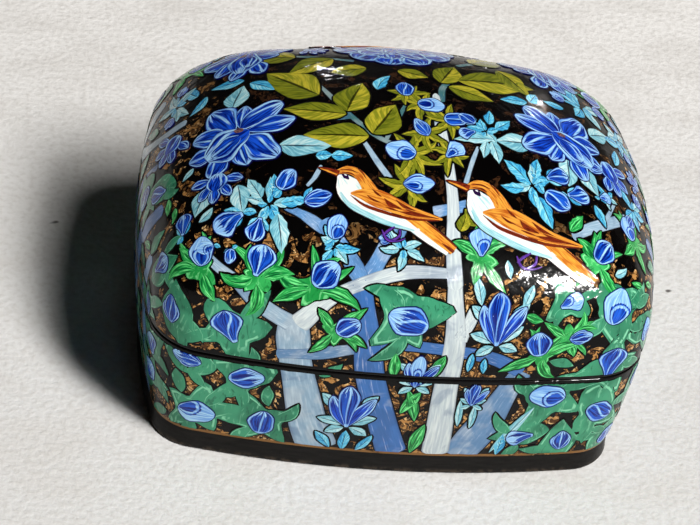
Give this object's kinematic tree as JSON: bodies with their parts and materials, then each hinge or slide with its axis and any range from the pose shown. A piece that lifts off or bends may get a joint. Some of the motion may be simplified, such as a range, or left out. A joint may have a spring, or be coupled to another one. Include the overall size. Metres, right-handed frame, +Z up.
{
  "type": "lidded trinket box",
  "caption": "Pillow-shaped trinket box of moulded papier mache with a domed lift-off lid that slips over a glued-in neck, on a low foot ring.",
  "frame": {"origin": "on the table plane, under the centre of the foot ring", "axes": "+Z up, +X along the box's width to the right, -Y towards the front"},
  "size_m": [0.1, 0.076, 0.064],
  "materials": {
    "painted_lid": "papier mache painted with flowers and birds under clear gloss lacquer",
    "painted_base": "papier mache painted with leaves and trunks under clear gloss lacquer",
    "neck_lacquer": "satin black lacquer on card",
    "foot_lacquer": "worn satin black paint on pulp"
  },
  "bodies": {
    "base": {"base_shell": "painted_base", "neck_band": "neck_lacquer", "foot_ring": "foot_lacquer"},
    "lid": {"lid_shell": "painted_lid"}
  },
  "joints": [
    {"name": "lid_lift", "type": "slide", "parent": "base", "child": "lid", "axis": [0, 0, 1], "range_m": [0, 0.05]}
  ]
}
